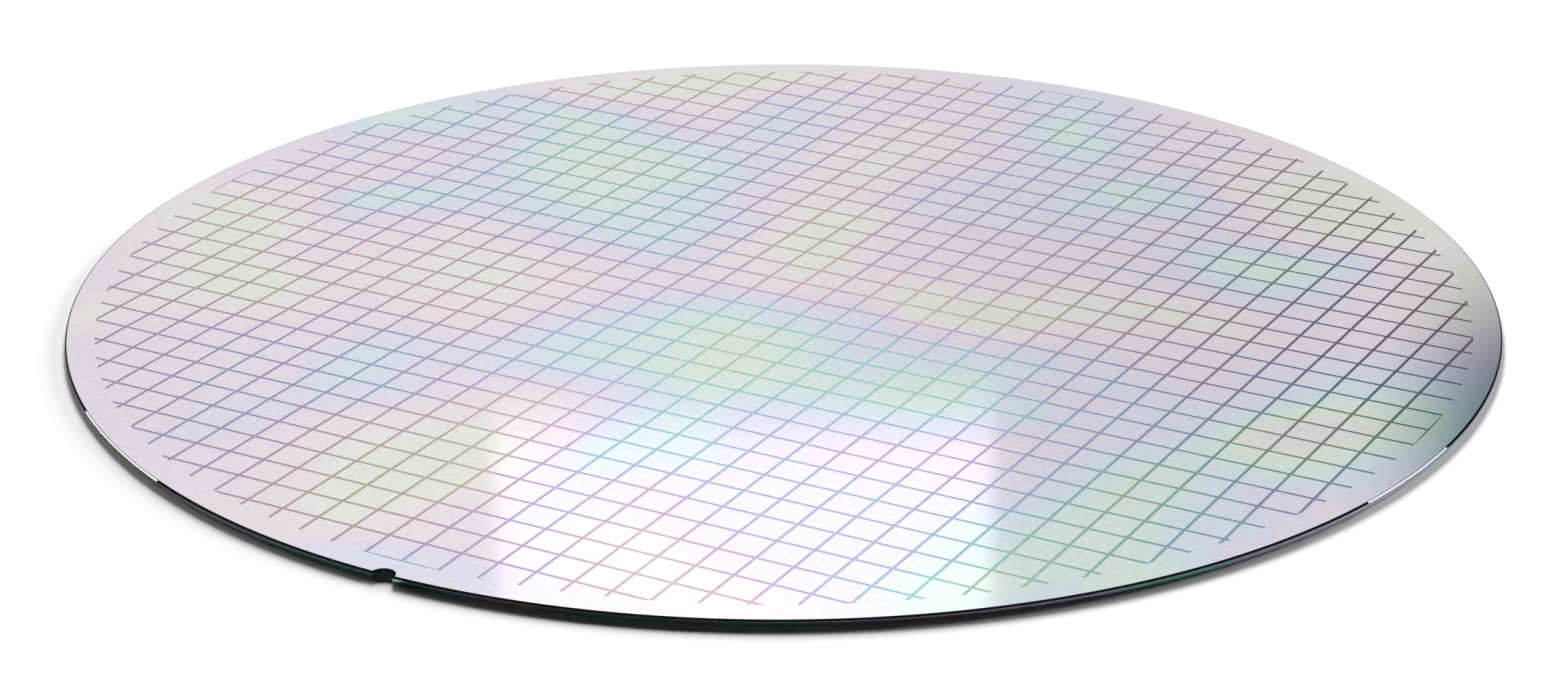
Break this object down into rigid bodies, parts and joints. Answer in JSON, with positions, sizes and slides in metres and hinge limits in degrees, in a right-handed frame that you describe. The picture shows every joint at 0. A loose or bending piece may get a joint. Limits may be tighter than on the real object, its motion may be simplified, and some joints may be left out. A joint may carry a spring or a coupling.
{
  "type": "silicon wafer",
  "caption": "Thin round silicon disc with a rounded edge, a half-round orientation notch and a square grid of dies divided by shallow scribe streets.",
  "frame": {"origin": "centre of the back face, which is the face the wafer lies on", "axes": "+Z through the thickness towards the patterned front face, notch at -Y, scribe streets along X and Y"},
  "size_m": [0.15, 0.15, 0.0007],
  "materials": {
    "polished_silicon": "polished patterned front face with an iridescent thin film, dark polished edge, ground back face"
  },
  "bodies": {
    "root": {"wafer": "polished_silicon"}
  },
  "joints": []
}
